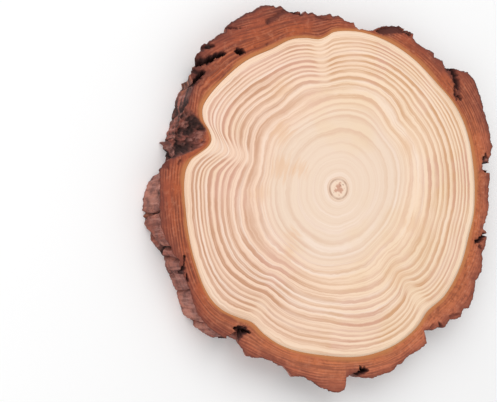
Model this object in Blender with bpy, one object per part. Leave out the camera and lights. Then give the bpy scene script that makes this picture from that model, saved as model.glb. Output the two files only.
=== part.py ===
"""A round slice of a conifer trunk with its bark on, lying flat on one sawn face.

The origin is the pith on the underside, +Z runs along the trunk out of the upper face, and the deep bay
where the bark grew into the wood is on the -X side. Angles are in degrees from +X towards +Y, and the
sizes below are in millimetres.
"""

import math

import bmesh
import bpy
from mathutils import Vector, noise

MM = 0.001

THICKNESS = 20.0
MEAN_RADIUS = 100.0  # used where a length along the bark is turned into an angle

# The edge of the wood, a smooth lobed line: (angle, radius)
WOOD_EDGE = [
    (0, 88.0), (12, 88.8), (25, 90.3), (34, 89.9), (45, 87.9), (60, 88.2), (75, 88.0), (84, 87.0),
    (92, 85.0), (95, 82.7), (98.5, 81.3), (104, 82.9), (110, 84.0), (119, 83.3), (130, 85.7), (140, 87.2),
    (150, 89.1), (154, 89.0), (157.5, 86.0), (160, 81.2), (163, 78.5), (166, 79.4), (169, 83.0),
    (172, 87.2), (177, 89.8), (190, 90.4), (205, 93.0), (217, 95.5), (223, 94.5), (229, 91.0),
    (234, 88.2), (240, 89.6), (248, 90.6), (264, 89.9), (280, 91.5), (293, 91.4), (303, 89.6),
    (310, 86.8), (319, 88.6), (332, 88.2), (343, 87.1), (352, 87.9),
]

# The ragged edge of the bark on the upper face, round from +X: (angle, radius)
BARK_EDGE = [
    # right side, with a slit that runs in from the edge
    (0, 97.4), (4, 98.2), (7.2, 99.6), (8.2, 94.6), (9.4, 95.3), (10.2, 99.5), (12.5, 102), (15, 104),
    # upper right, the thickest bark
    (19, 104.4), (23, 105.8), (27, 106.2), (31, 108.1), (36, 109.6), (40, 108), (42, 104.6),
    (45.7, 98.7), (48, 100.2), (51, 98.2), (53, 99), (57, 97.3), (61, 98.3), (61.7, 100.1), (66, 99.9),
    # top, where the bark is thinnest, and then thin flakes that stand away from it
    (70, 97.5), (72.2, 95.4), (75.2, 91.8), (77, 90), (82, 89.2), (83.2, 90), (84.2, 92), (86, 91.5),
    (90, 94.3), (92, 93.3), (93, 95), (98, 94), (99.5, 96), (101, 95.4), (104.5, 98), (106, 97.4), (108, 99),
    (110.3, 102.9), (111.5, 102.5), (115.5, 106), (119.5, 105.3), (121, 106.3), (128.5, 106.6),
    (129.3, 105), (130.2, 104.5), (133.9, 105.6), (135.8, 106.8), (136.5, 106.4), (138.4, 107.7),
    (139, 105.8), (142, 106.5), (143.8, 105.3), (144.3, 103.6), (145.9, 103.4), (148, 101),
    # left, round the bay of ingrown bark
    (149.4, 98.8), (151.6, 98.4), (153.7, 97.1), (155.8, 94.9), (156.9, 91.6), (158.3, 86.5), (160.2, 81.6),
    (161.8, 80.3), (163.7, 80), (165.8, 80.6), (167.6, 82.4), (169.9, 85.2), (171.3, 88.6), (172.2, 95.6),
    (173.2, 99.6), (175, 102.2), (176.5, 103.5), (182, 103.4), (189.6, 104.8), (192.7, 104.8),
    (196.2, 104.2), (198.2, 103), (201.5, 101.6), (203, 100.6), (204.6, 101.5), (209, 101.8), (214.9, 103.9),
    (218.4, 105.7), (222.2, 106), (225.9, 105.6), (230.4, 103.5), (232.8, 92.9), (233.8, 101.5), (238, 104),
    (242, 101), (251, 100.2), (254, 104), (260, 103.6),
    # bottom, with a spur
    (262.5, 106.5), (265, 108.3), (269, 109.4), (271.5, 108.2), (272.2, 101.6), (275.5, 99.5),
    (278, 103.2), (283, 104), (289, 103.8), (292.5, 103), (295.5, 100.4), (302, 100.9), (303.7, 98.3),
    (304.8, 94.2), (306.8, 95.1), (307.6, 97.4), (311.5, 101), (314.5, 100), (317, 103.2),
    (319.5, 104.1), (322.5, 105.8), (326, 104.2), (330.5, 101.3), (334, 102), (338, 100.3),
    (340, 98.8), (346, 99.5), (347.6, 95.2), (350, 96.3), (355, 97.7),
]

# The bay of ingrown bark: its sides, how deep it drops, its outer lip below the upper face, and a lump in it
BAY_START, BAY_END = 151.6, 173.2
BAY_DEPTH = 8.0
BAY_CURVE = 0.8  # under 1 the bay drops steeply first and then runs out flatter
BAY_LIP = [
    (150, 98.6), (154, 97.6), (158.8, 96.3), (164.1, 95.6), (165.8, 96.4), (166.9, 99.2), (167.8, 96.4),
    (170.6, 95.2), (171.8, 96.6), (174, 100.8),
]
KNOB_ANGLE, KNOB_HALF, KNOB_REACH = 162.6, 3.4, 3.5
KNOB_TOP, KNOB_MIDDLE = 3.0, 4.0  # it grows out over the first and fades out below the second

# How far the foot of the wall lies inside its top edge: (angle, distance)
UNDERCUT = [
    (0, 0), (94, 0), (105, 3), (120, 5.2), (132, 6.5), (144, 6.5), (147, 3.5), (150, 0), (170.5, 0),
    (172, 3.5), (174, 5.6), (176, 5.8), (178, 3), (180, 0.5), (184, -1.8), (190, -1.8), (194, -0.4), (200, 0),
    (226, 0), (231, 0), (234, 4), (237, 6.5), (242, 5.5), (250, 5), (256, 6), (260, 7.5), (264, 9.5),
    (268, 11), (270.5, 11), (271.6, 9), (272.6, 4), (276, 2), (280, 0),
]
UNDERCUT_HEIGHT = 14.0

# The bark's plates: they are long along the trunk, parted by fissures, and flake off in steps
PLATE_WIDTH = 17.0
PLATE_LENGTH = 64.0
FISSURE_SHARE = 0.13  # of a plate
FISSURE_DEPTH = 2.6
PLATE_STEP = 2.0  # between the lowest and the highest plate
FLAKE_WIDTH = 11.0
FLAKE_LENGTH = 10.0
FLAKE_STEPS = 3
FLAKE_STEP = 0.8
FLAKE_EDGE = 0.22  # of a step, over which it drops
SMALL_SHARE, SMALL_SCALE = 0.4, 2.7  # of the smaller flakes on the large ones
WANDER = 3.5  # of a fissure, to either side
WANDER_LENGTH = 12.0  # along the trunk, from one bend of a fissure to the next
PROUD_SHARE = 0.3  # how much of the relief is left where it would stand out
THIN_BARK_SHARE = 0.35  # relief never takes more of the bark's thickness than this
RELIEF_FADE = 2.0  # from the sawn faces
FOOT_RELIEF = 0.35  # the share of the relief that is left at the lower face, while the upper one has none

# Cracks in the sawn bark: (depth, the points along it as angle, radius and half width)
GROOVES = [
    # behind the loose flake at the upper left, and a hole beside it
    (14, [(146, 108.5, 1.5), (143, 104.6, 1.8), (141.4, 102.2, 1.9), (137.6, 99, 1.2), (134.2, 96, 0.4)]),
    (8, [(132.2, 94.9, 0.4), (130.4, 93, 1.8), (128.4, 89.4, 0.4)]),
    # upper right, right and bottom
    (9, [(46.5, 100.2, 1.1), (41.6, 101.2, 1.1), (37.1, 97.8, 0.8), (34.6, 94.8, 0.6)]),
    (8, [(342, 91.8, 0.5), (343.9, 94.8, 1.7), (346.4, 98.6, 1.2), (347.6, 101.4, 1.0)]),
    (9, [(273.6, 102, 0.9), (277.2, 99.8, 1.3), (279.8, 99.4, 0.6)]),
    # lower left, where the bark has split
    (9, [(229.8, 96.6, 0.5), (231.8, 95.2, 2.6), (235.2, 93.6, 0.5)]),
]
GROOVE_OVERSHOOT = 2.0  # of the cutters, above the upper face

WIDEST_COLUMN = 0.95  # degrees between two columns of the wall
WALL_ROWS = 9


def between(points, angle):
    """The points either side of an angle in a closed line, and how far on it is from one to the other."""
    angle %= 360.0
    for index, (start, _) in enumerate(points):
        end = points[(index + 1) % len(points)][0]
        span = (end - start) % 360.0
        if (angle - start) % 360.0 < span:
            return index, (angle - start) % 360.0 / span
    raise ValueError(angle)


def ragged(points, angle):
    """The radius of a closed line with straight runs from point to point."""
    index, share = between(points, angle)
    return points[index][1] * (1 - share) + points[(index + 1) % len(points)][1] * share


def smooth(points, angle):
    """The radius of a closed line that is rounded through its points."""
    index, share = between(points, angle)
    before, start, end, after = (points[(index + step) % len(points)] for step in (-1, 0, 1, 2))
    span = (end[0] - start[0]) % 360.0
    slope_in = (end[1] - before[1]) / ((end[0] - before[0]) % 360.0) * span
    slope_out = (after[1] - start[1]) / ((after[0] - start[0]) % 360.0) * span
    squared, cubed = share**2, share**3
    return (
        (2 * cubed - 3 * squared + 1) * start[1]
        + (cubed - 2 * squared + share) * slope_in
        + (3 * squared - 2 * cubed) * end[1]
        + (cubed - squared) * slope_out
    )


def columns(points):
    """The angles of the wall's columns: every point of the outline, with even steps between."""
    angles = []
    for index, (start, _) in enumerate(points):
        span = (points[(index + 1) % len(points)][0] - start) % 360.0
        steps = math.ceil(span / WIDEST_COLUMN)
        angles += [start + span * step / steps for step in range(steps)]
    return angles


def step_up(low, high, value):
    share = min(1.0, max(0.0, (value - low) / (high - low)))
    return share * share * (3 - 2 * share)


def plates(angle, height):
    """The bark's relief: plates parted by fissures, with flakes in steps on them."""
    turn = math.radians(angle)
    outward = Vector((math.cos(turn), math.sin(turn), 0)) * MEAN_RADIUS
    sideways = Vector((-math.sin(turn), math.cos(turn), 0))
    rise = Vector((0, 0, height))
    place = outward / PLATE_WIDTH + rise / PLATE_LENGTH
    place += sideways * WANDER / PLATE_WIDTH * noise.noise(outward / PLATE_WIDTH + rise / WANDER_LENGTH)
    distances, middles = noise.voronoi(place)
    fissure = 1 - step_up(0, FISSURE_SHARE, distances[1] - distances[0])
    # Each plate draws its own flakes and its own height from its middle
    spot = outward / FLAKE_WIDTH + rise / FLAKE_LENGTH + middles[0] * 5
    steps = (noise.noise(spot) + SMALL_SHARE * noise.noise(spot * SMALL_SCALE)) * FLAKE_STEPS
    flakes = (math.floor(steps) + step_up(0, FLAKE_EDGE, steps % 1)) * FLAKE_STEP
    relief = PLATE_STEP * (noise.cell(middles[0] * 9) + 0.3) / 2 + flakes
    relief = relief * (1 - fissure) - FISSURE_DEPTH * fissure
    return min(relief, PROUD_SHARE * relief)


def wall_radius(angle, height):
    """The outer surface of the bark, on the upper face and below it."""
    edge = ragged(BARK_EDGE, angle)
    below = THICKNESS - height
    if BAY_START < angle < BAY_END:
        edge += (ragged(BAY_LIP, angle) - edge) * min(1.0, below / BAY_DEPTH) ** BAY_CURVE
        knob = 1 - step_up(0, KNOB_HALF, abs(angle - KNOB_ANGLE))
        edge += KNOB_REACH * knob * step_up(0, KNOB_TOP, below) * (1 - step_up(KNOB_MIDDLE, BAY_DEPTH, below))
    wood = smooth(WOOD_EDGE, angle)
    most = THIN_BARK_SHARE * (edge - wood)
    foot = FOOT_RELIEF + (1 - FOOT_RELIEF) * step_up(0, RELIEF_FADE, height)
    fade = step_up(0, RELIEF_FADE, below) * foot
    edge -= ragged(UNDERCUT, angle) * step_up(0, UNDERCUT_HEIGHT, below)
    return edge + max(-most, min(most, plates(angle, height))) * fade


def material(name, colour, roughness):
    made = bpy.data.materials.new(name)
    made.use_nodes = True
    shader = made.node_tree.nodes["Principled BSDF"]
    shader.inputs["Base Color"].default_value = (*colour, 1)
    shader.inputs["Roughness"].default_value = roughness
    shader.inputs["Metallic"].default_value = 0
    made.diffuse_color = (*colour, 1)
    return made


def slice_mesh():
    """One closed body: a band of sawn bark on each face round the wood, and the wall of plates between."""
    angles = columns(BARK_EDGE)
    heights = [THICKNESS * (1 - row / WALL_ROWS) for row in range(WALL_ROWS + 1)]
    made = bmesh.new()
    # The section of the bark at +X, from the wood's edge above, down the wall, to the wood's edge below
    section = [made.verts.new((1, 0, THICKNESS))]
    section += [made.verts.new((2, 0, height)) for height in heights]
    section += [made.verts.new((1, 0, 0))]
    edges = [made.edges.new(pair) for pair in zip(section, section[1:])]
    bmesh.ops.spin(
        made, geom=section + edges, axis=(0, 0, 1), cent=(0, 0, 0),
        angle=2 * math.pi, steps=len(angles), use_merge=True,
    )
    for vertex in made.verts:
        turn = math.atan2(vertex.co.y, vertex.co.x) / (2 * math.pi) * len(angles)
        angle = angles[round(turn) % len(angles)]
        on_wall = math.hypot(vertex.co.x, vertex.co.y) > 1.5
        radius = wall_radius(angle, vertex.co.z) if on_wall else smooth(WOOD_EDGE, angle)
        turn = math.radians(angle)
        vertex.co = (radius * math.cos(turn), radius * math.sin(turn), vertex.co.z)
    for face in made.faces:
        flat = max(v.co.z for v in face.verts) - min(v.co.z for v in face.verts) < 0.001
        face.material_index = 1 if flat else 2
        face.smooth = not flat
    # The two sawn faces of the wood close it
    rims = [edge for edge in made.edges if edge.is_boundary]
    for face in bmesh.ops.edgeloop_fill(made, edges=rims)["faces"]:
        face.material_index = 0
    bmesh.ops.scale(made, vec=(MM, MM, MM), verts=made.verts)
    bmesh.ops.recalc_face_normals(made, faces=made.faces)
    mesh = bpy.data.meshes.new("wood_slice")
    made.to_mesh(mesh)
    made.free()
    return mesh


def grooves_mesh():
    """The cracks, each as an upright blade that runs out of the upper face."""
    made = bmesh.new()
    for depth, points in GROOVES:
        sides = []
        for way in (1, -1):
            for angle, radius, half in points[::way]:
                turn = math.radians(angle)
                reach = radius + way * half
                corner = (reach * math.cos(turn), reach * math.sin(turn), THICKNESS - depth)
                sides.append(made.verts.new(corner))
        risen = bmesh.ops.extrude_face_region(made, geom=[made.faces.new(sides)])["geom"]
        up = [part for part in risen if isinstance(part, bmesh.types.BMVert)]
        bmesh.ops.translate(made, vec=(0, 0, depth + GROOVE_OVERSHOOT), verts=up)
    bmesh.ops.scale(made, vec=(MM, MM, MM), verts=made.verts)
    bmesh.ops.recalc_face_normals(made, faces=made.faces)
    mesh = bpy.data.meshes.new("grooves")
    made.to_mesh(mesh)
    made.free()
    return mesh


def build():
    for old in list(bpy.data.objects):
        bpy.data.objects.remove(old)
    slice_object = bpy.data.objects.new("wood_slice", slice_mesh())
    bpy.context.collection.objects.link(slice_object)
    slice_object.data.materials.append(material("sawn_wood", (0.82, 0.62, 0.43), 0.6))
    slice_object.data.materials.append(material("sawn_bark", (0.36, 0.12, 0.05), 0.8))
    slice_object.data.materials.append(material("outer_bark", (0.17, 0.08, 0.06), 0.9))

    grooves = bpy.data.objects.new("grooves", grooves_mesh())
    bpy.context.collection.objects.link(grooves)
    grooves.hide_render = True
    grooves.display_type = "WIRE"
    cut = slice_object.modifiers.new("grooves", "BOOLEAN")
    cut.operation = "DIFFERENCE"
    cut.solver = "EXACT"
    cut.object = grooves


build()
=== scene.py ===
"""The looks of a round wood slice that lies flat on a pale floor, seen from above.

The slice's frame has its origin at the pith on the underside and +Z along the trunk. Sizes are in
millimetres here until a mesh is finished, and angles in degrees from +X towards +Y.
"""

import math
from typing import NamedTuple

import bmesh
import bpy
from mathutils import Matrix, Vector, noise


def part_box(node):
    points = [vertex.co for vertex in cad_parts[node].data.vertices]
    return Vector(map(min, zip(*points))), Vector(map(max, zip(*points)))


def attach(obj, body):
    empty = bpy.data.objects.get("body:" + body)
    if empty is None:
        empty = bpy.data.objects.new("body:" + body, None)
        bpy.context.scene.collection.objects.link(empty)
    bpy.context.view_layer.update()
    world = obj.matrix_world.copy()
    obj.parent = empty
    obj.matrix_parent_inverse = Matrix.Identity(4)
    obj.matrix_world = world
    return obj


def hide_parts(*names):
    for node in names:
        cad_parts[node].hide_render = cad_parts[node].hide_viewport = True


MM = 0.001

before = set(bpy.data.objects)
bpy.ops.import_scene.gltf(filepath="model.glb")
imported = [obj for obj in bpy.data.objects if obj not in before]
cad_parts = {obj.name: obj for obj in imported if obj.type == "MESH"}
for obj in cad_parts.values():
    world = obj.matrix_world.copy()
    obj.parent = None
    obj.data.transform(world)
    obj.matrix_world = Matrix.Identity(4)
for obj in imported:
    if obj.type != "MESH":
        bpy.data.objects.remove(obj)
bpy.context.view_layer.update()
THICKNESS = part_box("wood_slice")[1].z / MM

# Growth rings, each a lobed line round the pith: (angle, radius)
WOOD_EDGE = [
    (0, 88.0), (12, 88.8), (25, 90.3), (34, 89.9), (45, 87.9), (60, 88.2), (75, 88.0), (84, 87.0),
    (92, 85.0), (95, 82.7), (98.5, 81.3), (104, 82.9), (110, 84.0), (119, 83.3), (130, 85.7), (140, 87.2),
    (150, 89.1), (154, 89.0), (157.5, 86.0), (160, 81.2), (163, 78.5), (166, 79.4), (169, 83.0),
    (172, 87.2), (177, 89.8), (190, 90.4), (205, 93.0), (217, 95.5), (223, 94.5), (229, 91.0),
    (234, 88.2), (240, 89.6), (248, 90.6), (264, 89.9), (280, 91.5), (293, 91.4), (303, 89.6),
    (310, 86.8), (319, 88.6), (332, 88.2), (343, 87.1), (352, 87.9),
]
RING_16 = [
    (0, 74.8), (30, 76.5), (60, 77), (75, 76.3), (85, 73.5), (92, 71), (98, 68.5), (105, 70.5),
    (112, 71.7), (127, 72.3), (135, 74), (150, 76.3), (158, 74), (165, 66), (170, 70), (175, 75.5),
    (185, 76.8), (210, 79.5), (220, 77), (227, 74), (232, 71.5), (245, 72.5), (266, 71.8), (275, 74),
    (287, 75.8), (295, 75.5), (303, 73), (309, 69.5), (315, 73.5), (322, 75), (335, 73.8), (345, 73),
]
RING_12 = [
    (0, 57.8), (15, 59.5), (30, 60.5), (44, 58.5), (52, 61.5), (65, 63), (75, 62.3), (90, 60), (98, 58),
    (110, 59.8), (120, 58.5), (130, 57), (140, 59), (150, 60), (160, 57.5), (166, 55.5), (172, 57),
    (180, 59.5), (190, 61.5), (202, 62.8), (215, 61.5), (225, 59), (231, 56), (262, 55.5), (290, 56),
    (300, 55.3), (310, 52.8), (318, 55.5), (330, 56.8), (345, 56.8),
]
RING_10 = [
    (0, 44), (10, 46), (30, 48.5), (48, 47.5), (65, 52), (80, 51), (95, 49), (110, 46.5), (125, 45.8),
    (135, 47.5), (150, 48), (170, 45.5), (180, 47.5), (205, 48.8), (230, 47), (250, 46.7), (270, 44.5),
    (290, 43.5), (302, 41.5), (312, 41), (325, 42), (345, 42.5),
]
RING_6 = [
    (0, 28.7), (30, 31), (60, 32), (80, 31.8), (100, 30.3), (130, 30), (175, 30), (200, 31.7), (220, 31),
    (255, 29.5), (270, 28.8), (280, 27.5), (300, 27), (320, 26.3), (345, 27.5),
]
PITH_RING = [(0, 5.6), (90, 5.5), (180, 6.2), (270, 6.1)]

# The lines that the rings between follow: (ring number, its line)
KEY_RINGS = [(1, PITH_RING), (6, RING_6), (10, RING_10), (12, RING_12), (16, RING_16), (21, WOOD_EDGE)]
# Each ring: how far it lies from its inner key ring to its outer one, how dark its latewood is, and
# where in the ring that starts
RINGS = [
    (0.0, 0.5, 0.55), (0.18, 0.12, 0.5), (0.34, 0.1, 0.5), (0.54, 0.14, 0.5), (0.74, 0.16, 0.5),
    (0.0, 0.34, 0.4), (0.44, 0.42, 0.4), (0.6, 0.34, 0.4), (0.79, 0.34, 0.4),
    (0.0, 0.55, 0.35), (0.63, 0.6, 0.45),
    (0.0, 1.0, 0.3), (0.33, 0.95, 0.3), (0.52, 0.85, 0.3), (0.72, 1.0, 0.3),
    (0.0, 1.1, 0.25), (0.19, 0.6, 0.3), (0.33, 0.75, 0.3), (0.51, 1.0, 0.3), (0.66, 0.8, 0.3),
    (0.0, 0.2, 0.3),
]
LATE_CENTRE = 0.72  # where in a ring its dark line lies
LATE_RISE = 0.38  # over how much of the ring it darkens
# How strong the rings show round the slice: (angle, strength of the inner ones, of the outer ones)
SIDES = [
    (0, 0.8, 1.15), (30, 0.85, 1.25), (60, 0.9, 1.2), (90, 0.95, 1.15), (120, 0.85, 1.15), (150, 0.9, 1.25),
    (185, 1.05, 1.35), (222, 1.05, 1.25), (245, 0.9, 1.0), (270, 0.75, 1.0), (300, 0.6, 1.0), (330, 0.6, 0.8),
    (350, 0.7, 0.95),
]
INNER_TO_OUTER = (13.5, 16)  # the ring numbers between which the outer ones' strength takes over
# Where the rings dip in, their lines fade: (angle, half width, how far, from this radius)
VALLEYS = [(98.5, 5, 0.7, 58), (165, 6, 0.9, 52), (234, 4, 0.5, 74), (309.5, 4.5, 0.85, 66)]
VALLEY_CORE = 0.15  # the share of the half width over which they fade in full
VALLEY_BEFORE = 6  # how far inside that radius the fading begins
VALLEY_PAST = 4  # and how far outside it the fading is full
# Faint stains on the upper face: (angle, radius, half width, strength)
STAINS = [
    (163, 36, 9, 0.55), (140, 44, 9, 0.5), (157, 25, 6, 0.5), (185, 47, 7, 0.45), (124, 62, 8, 0.4),
    (222, 38, 6, 0.45), (229, 45, 5, 0.4), (338, 52, 9, 0.4), (30, 52, 8, 0.35), (308, 60, 9, 0.4),
]
STAR_ARMS = 5.0  # of the star in the pith
STAR_TURN = 0.5  # in radians
ROWS_PER_RING = 3
WOOD_COLUMNS = 480

# The ragged edge of the bark on the upper face, round from +X: (angle, radius)
BARK_EDGE = [
    # right side, with a slit that runs in from the edge
    (0, 97.4), (4, 98.2), (5.5, 99.2), (7.4, 99.6), (8.2, 94.6), (8.8, 94.3), (9.6, 95.6), (10.2, 99.5),
    (11.5, 99.8), (12.5, 102), (14, 102.8), (15, 104),
    # upper right, the thickest bark
    (19, 104.3), (21, 105.3), (25, 105.6), (27, 106), (29, 107.4), (33, 108.4), (36, 109.8), (39, 108.9),
    (40, 108), (42.5, 104), (45, 100.5), (45.8, 98.6), (48, 100.2), (51, 98), (52, 99.6), (55, 98),
    (58.5, 97), (61, 98.2), (61.5, 100.1), (65, 100.1), (67, 99.5),
    # top, where the bark is thinnest, and then thin flakes that stand away from it
    (70, 97.5), (72.2, 95.4), (73.6, 93.9), (75.2, 91.8), (76.6, 90.2), (79, 89.4), (82, 89.2),
    (83.1, 89.7), (84.1, 92), (85, 91.4), (87, 92), (90, 94.4), (91.8, 93.3), (92.8, 95),
    (97, 93.8), (98, 94), (99.5, 96), (101, 95.5), (102, 97), (103.3, 95.9), (104.5, 98),
    (106, 97.5), (109, 100.5), (110, 102.9), (111.5, 102.5), (112.2, 104.2),
    (115.5, 106), (119.5, 105.3), (121, 106.3), (125.1, 106.3), (128.5, 106.6),
    (129.1, 106.2), (129.3, 105), (130.2, 104.5), (132.7, 105.5), (133.9, 105.6), (135, 106), (135.8, 106.8),
    (136.5, 106.4), (137.6, 107.7), (138.6, 107.6), (138.9, 105.8), (140.9, 106.7), (142, 106.5),
    (142.9, 105.8), (143.8, 105.3), (144.2, 103.6), (145.4, 104.2), (145.9, 102.8), (147, 103.2), (148, 101),
    # left, round the bay of ingrown bark
    (149.4, 98.6), (152.3, 98), (156.2, 97), (158.8, 96.3), (161.4, 95.9), (164.1, 95.6), (165.8, 96.4),
    (166.9, 99.2), (167.6, 96.4), (168.4, 97.2), (169.2, 95), (170.6, 95.2), (171.8, 96.6), (172.9, 98.7),
    (175, 102.2), (176.5, 103.5), (178.7, 103.4), (182, 103.4), (185, 103.8), (189.6, 104.8), (192.7, 104.8),
    (196.2, 104.2), (198.2, 103), (200.4, 102.4), (201.5, 101.6), (203, 100.6), (204.6, 101.5), (209, 101.8),
    (212.1, 102.4), (214.9, 103.9), (218.4, 105.7), (222.2, 106), (225.9, 105.6), (229.2, 103.8),
    (230.4, 103.5), (232.6, 92.9), (233.3, 93.4), (233.8, 101.4), (236, 102.5), (238, 104), (240, 103.5),
    (243, 100.6), (251, 100.3), (254, 104), (257, 102.8), (261, 104.5),
    # bottom, with a spur
    (262.5, 106.5), (264, 108), (268, 109.3), (270, 109.5), (271.4, 108.2), (272, 106), (272.3, 101.8),
    (274, 100.3), (275.6, 99.4), (277, 102), (278.5, 103.5), (283, 104), (289, 103.8), (290.7, 102),
    (292, 103), (294.5, 101), (297, 100.6), (300, 101.2), (303.2, 100.5), (303.8, 98.2), (304.6, 94),
    (306.8, 95.1), (307.5, 97.2), (309.7, 98.5), (311.5, 101), (314.5, 100), (316, 102.8), (318, 104.3),
    (320.7, 103.2), (322, 105.8), (325, 104.8), (329, 102), (330.5, 101.2), (334, 102), (336, 101.5),
    (340, 98.7), (342, 99.3), (346.2, 99.4), (347.3, 97.4), (347.7, 95.2), (350, 96.3), (355, 97.7),
]

# The line that the bark's layers follow, away from the wood
LAYER_LINE = [
    (0, 88), (30, 90), (60, 88), (85, 85), (100, 82), (117, 82.5), (129, 88), (141, 93), (148, 92.5),
    (157, 88), (172, 90), (190, 90.4), (217, 95.5), (240, 89.6), (264, 89.9), (290, 91.4),
    (310, 87.5), (332, 88.2),
]

# How far the foot of the wall lies inside its top edge: (angle, distance)
UNDERCUT = [
    (0, 0), (94, 0), (105, 3), (120, 5.2), (132, 6.5), (144, 6.5), (147, 3.5), (150, 0), (170.5, 0),
    (172, 3.5), (174, 5.6), (176, 5.8), (178, 3), (180, 0.5), (184, -1.8), (190, -1.8), (194, -0.4), (200, 0),
    (226, 0), (231, 0), (234, 4), (237, 6.5), (242, 5.5), (250, 5), (256, 6), (260, 7.5), (264, 9.5),
    (268, 11), (270.5, 11), (271.6, 9), (272.6, 4), (276, 2), (280, 0),
]
UNDERCUT_HEIGHT = 14.0  # over how much of the thickness it grows

# The bay of ingrown bark at the left: the brink where the sawn face ends
BAY_BRINK = [
    (140, 116), (146, 104), (149, 99.6), (151.6, 99), (153.7, 97.1), (155.8, 94.9), (156.9, 91.6),
    (157.5, 88.8), (158.3, 86.5), (159.3, 83.5), (160.2, 81.6), (161.8, 80.3), (163.7, 80.2), (165.8, 81.6),
    (167.6, 84.3), (169.5, 87.6), (170.7, 90.4), (171.5, 92.8), (172.2, 95.8), (172.9, 98.7), (176, 116),
]
# How deep the bay is along it: (angle, depth)
BAY_DEPTHS = [(146, 1.5), (155, 2.5), (158, 6.0), (161, 8.0), (167, 8.0), (170, 6.0), (173, 3.0)]
BAY_SLOPE = 2.5  # how soon past the brink it is that deep
BAY_LEAST = 0.2
BAY_POCKET = (155, 159)  # the angles between which strands give way to the pocket's lumps
KNOB = (162.9, 83.6, 5.4, 5.0)  # a lump of bark in the bay: angle, radius, half width, height
# The bay's noise, each wave as how fast it varies one way and the other, its seed and its strength.
# The strands' ways are along the brink and out from it, and the others' are x and y
BAY_STRANDS = [(0.07, 0.5, 1, 1.6), (0.2, 1.1, 2, 0.8)]
BAY_LUMPS = [(0.28, 0.2, 3, 1.7), (0.6, 0.5, 5, 1.3), (1.3, 1.1, 7, 0.9)]
BRINK_WAVES = [(0.35, 0.35, 11, 0.9)]
LUMP_HEIGHT = 1.3
LUMP_ONSET = 3.0  # how far past the brink the lumps are whole
KNOB_WAVES = [(0.5, 0.5, 13, 0.35)]
# Painted light and shade in the bay: how much painted light it has in its pocket, outside it and on the knob,
# where it is a painted highlight, what the lumps and the far brink add, how far past the brink that reaches,
# and between which angles it sets in
POCKET_LIGHT = 0.14
OUTER_LIGHT = 0.34
LUMP_LIGHT = 0.28
KNOB_LIGHT = 1.0
BRINK_LIGHT = 0.3
BRINK_LIGHT_REACH = 4.0
BRINK_LIGHT_ANGLES = (160, 165)
POCKET_END = (7, 15)  # the distances past the brink between which the pocket ends
BAY_FINISH = (0.4, 1.5)  # the depths between which its finish goes from sawn to weathered

# How much of the wall's relief, and of the contrast of its painted light and shade, is left: (angle, share),
# with its painted light where none is left, and how strong the broad patches in that painted light are there
# instead
CALM = [(0, 1), (143, 1), (147, 0.35), (156, 0.35), (160, 0.7), (172, 1)]
CALM_LIGHT = 0.56
CALM_PATCHES = 0.7
CALM_NOISE = (7, 0.45)  # the radius that its noise runs round, and how fast it varies with height
BAY_TONE = -0.6  # which of the plates' tones the bay has

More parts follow.
